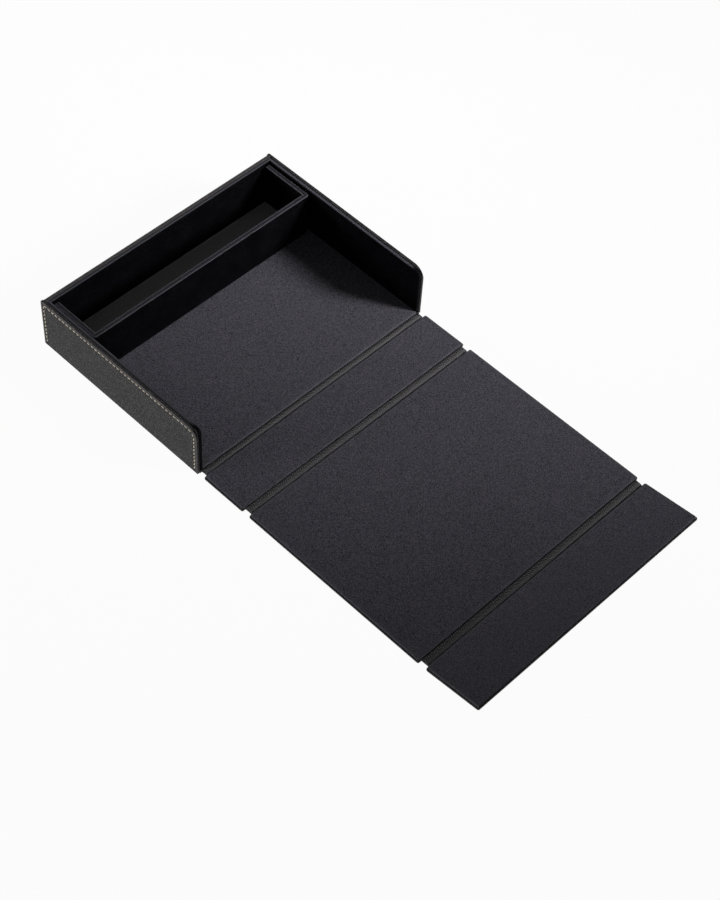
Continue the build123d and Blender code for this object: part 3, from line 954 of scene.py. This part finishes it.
def tray_path(box, x, y):
    """Stations along the tray's three walls, and a function from one and an offset to a point."""
    corner = box.tray.corner
    least = 0.5 * MM
    past_corner = box.tray.wall + least
    # Close together near the open end of each leg, where the wrap is rounded and its flange starts.
    leg = [y[1] - short * MM for short in (0, 0.06, 0.18, 0.35, 0.5, 0.5, 1.5)]
    leg += list(np.linspace(y[1] - 4 * MM, y[0] + past_corner + MM, 12))
    end = [("leg", value) for value in leg] + [("corner", value) for value in np.linspace(0, math.pi / 2, 9)]
    front = np.linspace(x[0] + past_corner + MM, x[1] - past_corner - MM, 60)
    stations = [(*place, -1) for place in end] + [("front", value, 0) for value in front]
    stations += [(*place, 1) for place in reversed(end)]

    def point(station, offset):
        kind, value, side = station
        if kind == "front":
            return value, y[0] + offset
        edge = x[0] if side < 0 else x[1]
        if kind == "leg":
            return edge - side * offset, value
        radius = max(corner - offset, least)
        reach = offset + radius
        return edge - side * (reach - radius * math.cos(value)), y[0] + reach - radius * math.sin(value)

    return stations, point


def wrap_section(offsets, z, bend, flange, near):
    """A tray wrap's section as (offset, height): down its face to the floor and back up inside the wrap."""
    face, groove = offsets
    way = 1 if groove > face else -1
    shade = 0.1 * MM
    cover = groove if flange else face + way * SUEDE_THICKNESS
    top = z[1] - near
    thin = 0.4 * MM
    section = [(face + way * near, z[0]), (face + way * near, top - 1.3 * bend)]
    section += [(face + way * (near + inset), top - drop) for inset, drop in reversed(roll(bend))]
    section += [(face + way * (near + 2 * bend), top), (groove - way * 3 * shade, top)]
    section += [(groove - way * shade, top - 0.3 * shade), (groove, top - shade)]
    section += [(groove, top - thin), (cover, top - thin - GLUE_LINE), (cover, z[0])]
    return section


def tray_wrap(name, box, x, y, z, offsets):
    """The outer or the inner suede wrap of the tray's three walls."""
    stations, point = tray_path(box, x, y)
    bend = box.suede.edge_roll
    rounded = 0.35 * MM
    flange_stations = 5
    end_wear_and_highlight = 0.7
    # How strongly the section's points are painted lighter, from the face over the rolled top to the groove:
    # scuffing and painted highlight.
    groove_wear_and_highlight = 0.9 if offsets[0] > offsets[1] else 0.5
    wear_and_light_share = [0.0, 0.0, 0.1, 0.6, 1.0, 1.0, 0.9] + [share * groove_wear_and_highlight for share in (1, 0.8, 0.5)] + [0.0] * 4
    rings = []
    wear_and_light_marks = []
    for number, station in enumerate(stations):
        from_end = y[1] - station[1] if station[0] == "leg" else y[1]
        flange = min(number, len(stations) - 1 - number) < flange_stations
        gone = max(rounded - from_end, 0)
        near = rounded - math.sqrt(rounded**2 - gone**2)
        section = wrap_section(offsets, z, bend, flange, near)
        rings.append([(*point(station, offset), height) for offset, height in section])
        # The rounded open ends of the legs are painted lighter too: scuffing and painted highlight.
        wear_and_light_marks.append([max(value, end_wear_and_highlight if from_end < rounded else 0.0) for value in wear_and_light_share])
    return skin(name, rings, wear_and_light_marks, caps=True)


def make_tray(box):
    """The loose tray."""
    tray = box.tray
    x, y, z = node_span("tray_outer_suede")
    # The outer wrap reaches further over the top than the inner one.
    middle = 0.62 * tray.wall
    half = tray.groove / 2
    for side, offsets in (("outer", (0.0, middle - half)), ("inner", (tray.wall, middle + half))):
        wrap = tray_wrap(f"tray_{side}_wrap", box, x, y, z, offsets)
        dress(wrap, "suede", box, [f"tray_{side}_suede"], "tray")
    x, y, z = node_span("tray_floor_lining")
    outline, reach = flat_outline(x, y, SHARP, 90, 24)
    turned = 0.12 * MM
    rows = [(reach, z[0]), (0.1 * MM, z[0]), (GLUE_LINE, z[0] + turned), (GLUE_LINE, z[1])]
    rows += [(turned, z[1] + turned / 2)]
    rows += [(inset, z[1]) for inset in (3 * turned, 2 * MM, 6 * MM, 12 * MM, reach)]
    rings = []
    for inset, height in rows:
        flat = outline(inset)
        lift = ripple(flat, inset, 0.03 * MM, 0, 60 * MM, MM) if inset > MM and height == z[1] else 0.0
        rings.append(np.insert(flat, 2, height + lift, 1))
    dress(skin("tray_floor", rings), "tray_floor", box, ["tray_floor_lining"], "tray")


# Hidden pieces.


def finish_hidden_parts(box):
    """Boards, cards and magnets keep their solids and get their own finishes."""
    slots = {"board": "board", "card": "board", "magnets": "magnet"}
    for name, node in frame["nodes"].items():
        slot = slots.get(name.rsplit("_", 1)[1])
        if slot is None:
            continue
        if not node.material_slots:
            node.data.materials.append(None)
        for place in node.material_slots:
            place.material = finish(slot, box)


# Stage.


def seen_as_white(tree):
    """1 for rays that show the surroundings: from the camera, off gloss or through glass."""
    path = add_node(tree, "ShaderNodeLightPath")
    shown = path.outputs["Is Camera Ray"]
    for ray in ("Is Glossy Ray", "Is Transmission Ray"):
        either = add_node(tree, "ShaderNodeMath", {0: shown, 1: path.outputs[ray]}, operation="MAXIMUM")
        shown = either.outputs[0]
    return shown


def studio_floor(name):
    """Matt white sweep paper: pale and even, and it keeps a soft shadow of the box."""
    material = bpy.data.materials.new(name)
    tree = bare_tree(material)
    paper = add_node(tree, "ShaderNodeBsdfDiffuse", {"Color": linear("#e6e6e6"), "Roughness": 0.5})
    white = add_node(tree, "ShaderNodeEmission", {"Color": linear("#ffffff"), "Strength": 1.0})
    glow = add_node(tree, "ShaderNodeMath", {0: seen_as_white(tree), 1: 0.96}, operation="MULTIPLY")
    mixed = add_node(
        tree, "ShaderNodeMixShader", {0: glow.outputs[0], 1: paper.outputs[0], 2: white.outputs[0]}
    )
    add_node(tree, "ShaderNodeOutputMaterial", {"Surface": mixed.outputs[0]})
    return material


def white_surroundings(box):
    """A world that gives a low even light and shows as plain white, with a dark ceiling overhead."""
    world = bpy.data.worlds.new("white_surroundings")
    tree = bare_tree(world)
    full = linear("#ffffff")
    dim = add_node(tree, "ShaderNodeBackground", {"Color": full, "Strength": box.stage.ambient})
    way = add_node(tree, "ShaderNodeTexCoord").outputs["Generated"]
    rise = add_node(tree, "ShaderNodeSeparateXYZ", {0: way})
    ceiling = add_node(
        tree,
        "ShaderNodeMapRange",
        {"Value": rise.outputs["Z"], "From Min": 0.35, "From Max": 0.7, "To Min": 1.0, "To Max": 0.1},
    )
    white = add_node(tree, "ShaderNodeBackground", {"Color": full, "Strength": ceiling.outputs[0]})
    mixed = add_node(
        tree, "ShaderNodeMixShader", {0: seen_as_white(tree), 1: dim.outputs[0], 2: white.outputs[0]}
    )
    add_node(tree, "ShaderNodeOutputWorld", {"Surface": mixed.outputs[0]})
    return world


def area_lamp(name, target, azimuth, elevation, distance, **settings):
    """A lamp that shines at the target from a compass direction, with azimuth 0 at -Y and 90 at +X."""
    data = bpy.data.lights.new(name, "AREA")
    for key, value in settings.items():
        setattr(data, key, value)
    lamp = placed(name, data)
    turn, rise = math.radians(azimuth), math.radians(elevation)
    away = Vector((math.sin(turn) * math.cos(rise), -math.cos(turn) * math.cos(rise), math.sin(rise)))
    lamp.location = Vector(target) + away * distance
    lamp.rotation_mode = "QUATERNION"
    lamp.rotation_quaternion = (-away).to_track_quat("-Z", "Y")


def make_stage(box):
    """The camera, the lamps, the white floor and the white surroundings."""
    stage = box.stage
    scene = bpy.context.scene
    data = bpy.data.cameras.new("camera")
    data.lens = stage.lens
    data.sensor_width = 36
    data.clip_end = 20
    camera = placed("camera", data)
    view = Vector(stage.aim) - Vector(stage.place)
    camera.location = Vector(stage.place)
    camera.rotation_mode = "QUATERNION"
    camera.rotation_quaternion = view.to_track_quat("-Z", "Y") @ Quaternion((0, 0, 1), stage.roll)
    scene.camera = camera

    area_lamp(
        "key_lamp", target=(0.145, 0.22, 0.0), azimuth=31, elevation=30, distance=1.6,
        energy=stage.key, shape="DISK", size=0.52, spread=math.radians(24),
    )
    area_lamp(
        "fill_card", target=(-0.1, 0.1, 0.02), azimuth=-118, elevation=9, distance=1.2,
        energy=stage.fill, shape="RECTANGLE", size=0.5, size_y=0.15,
    )

    reach = 6.0
    drop = 0.02 * MM
    points = [(reach * u, reach * v, -drop) for u, v in ((-1, -1), (1, -1), (1, 1), (-1, 1))]
    mesh = bpy.data.meshes.new("floor")
    mesh.from_pydata(points, [], [(0, 1, 2, 3)])
    floor = placed("floor", mesh)
    mesh.materials.append(studio_floor("studio_floor"))
    scene.world = white_surroundings(box)
    scene.view_settings.view_transform = "Standard"


# Operators, panel and main.


class FOLDINGBOX_OT_side_walls(bpy.types.Operator):
    """Make both side walls: leather with its sewn seam, thread and suede liner"""

    bl_idname = "folding_box.side_walls"
    bl_label = "Side walls"

    def execute(self, context):
        make_side_walls(context.scene.folding_box)
        return {"FINISHED"}


class FOLDINGBOX_OT_back_wall(bpy.types.Operator):
    """Make the back wall: leather and suede liner"""

    bl_idname = "folding_box.back_wall"
    bl_label = "Back wall"

    def execute(self, context):
        make_back_wall(context.scene.folding_box)
        return {"FINISHED"}


class FOLDINGBOX_OT_base(bpy.types.Operator):
    """Make the base: leather and felt floor"""

    bl_idname = "folding_box.base"
    bl_label = "Base"

    def execute(self, context):
        make_base(context.scene.folding_box)
        return {"FINISHED"}


class FOLDINGBOX_OT_lid_panels(bpy.types.Operator):
    """Make the three lid panels: leather plies and felt pads"""

    bl_idname = "folding_box.lid_panels"
    bl_label = "Lid panels"

    def execute(self, context):
        make_lid_panels(context.scene.folding_box)
        return {"FINISHED"}


class FOLDINGBOX_OT_hinges(bpy.types.Operator):
    """Make the three leather hinges"""

    bl_idname = "folding_box.hinges"
    bl_label = "Hinges"

    def execute(self, context):
        make_hinges(context.scene.folding_box)
        return {"FINISHED"}


class FOLDINGBOX_OT_tray(bpy.types.Operator):
    """Make the loose tray: suede wraps and smooth floor"""

    bl_idname = "folding_box.tray"
    bl_label = "Loose tray"

    def execute(self, context):
        make_tray(context.scene.folding_box)
        return {"FINISHED"}


class FOLDINGBOX_OT_hidden_parts(bpy.types.Operator):
    """Finish the boards, cards and magnets inside the walls and panels"""

    bl_idname = "folding_box.hidden_parts"
    bl_label = "Hidden parts"

    def execute(self, context):
        finish_hidden_parts(context.scene.folding_box)
        return {"FINISHED"}


class FOLDINGBOX_OT_stage(bpy.types.Operator):
    """Make the camera, the lamps and the white floor"""

    bl_idname = "folding_box.stage"
    bl_label = "Stage"

    def execute(self, context):
        make_stage(context.scene.folding_box)
        return {"FINISHED"}


OPERATORS = (
    FOLDINGBOX_OT_stage,
    FOLDINGBOX_OT_side_walls,
    FOLDINGBOX_OT_back_wall,
    FOLDINGBOX_OT_base,
    FOLDINGBOX_OT_lid_panels,
    FOLDINGBOX_OT_hinges,
    FOLDINGBOX_OT_tray,
    FOLDINGBOX_OT_hidden_parts,
)


class FOLDINGBOX_PT_sidebar(bpy.types.Panel):
    """Lists the box's operators and settings"""

    bl_idname = "FOLDINGBOX_PT_sidebar"
    bl_label = "Folding box"
    bl_space_type = "VIEW_3D"
    bl_region_type = "UI"
    bl_category = "Folding box"

    def draw(self, context):
        for operator in OPERATORS:
            self.layout.operator(operator.bl_idname)
        for name in BoxSettings.__annotations__:
            group = getattr(context.scene.folding_box, name)
            rows = self.layout.box()
            rows.label(text=name.capitalize())
            for field in group.__annotations__:
                rows.prop(group, field)


CLASSES = (
    LeatherSettings,
    SeamSettings,
    FeltSettings,
    SuedeSettings,
    HingeSettings,
    TraySettings,
    StageSettings,
    BoxSettings,
    *OPERATORS,
    FOLDINGBOX_PT_sidebar,
)


def register():
    """Registers the classes and hangs the settings on the scene."""
    for cls in CLASSES:
        bpy.utils.register_class(cls)
    bpy.types.Scene.folding_box = PointerProperty(type=BoxSettings)


def unregister():
    """Takes the settings and the classes away again."""
    del bpy.types.Scene.folding_box
    for cls in reversed(CLASSES):
        bpy.utils.unregister_class(cls)


def main():
    """Makes every piece."""
    register()
    for operator in OPERATORS:
        group, name = operator.bl_idname.split(".")
        getattr(getattr(bpy.ops, group), name)()


if __name__ == "__main__":
    main()
